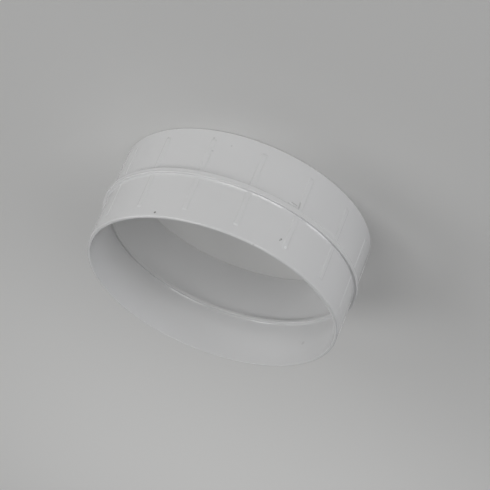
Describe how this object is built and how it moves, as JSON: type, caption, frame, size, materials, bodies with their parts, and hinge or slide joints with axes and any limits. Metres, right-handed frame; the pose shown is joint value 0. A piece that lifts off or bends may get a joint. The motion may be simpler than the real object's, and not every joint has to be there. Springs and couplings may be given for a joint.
{
  "type": "inline duct connector",
  "caption": "White plastic ring that joins two lengths of round duct, with a spigot each side of a raised stop collar, fine grip ribs and a ridge inside the bore.",
  "frame": {"origin": "centre of the rim that it stands on, at the foot of the ring", "axes": "+Z along the duct, through the bore, from the rim that it stands on to the other rim"},
  "size_m": [0.1534, 0.1532, 0.0603],
  "materials": {
    "body": "satin moulded, lightly scuffed"
  },
  "bodies": {
    "root": {"duct_connector": "body"}
  },
  "joints": []
}
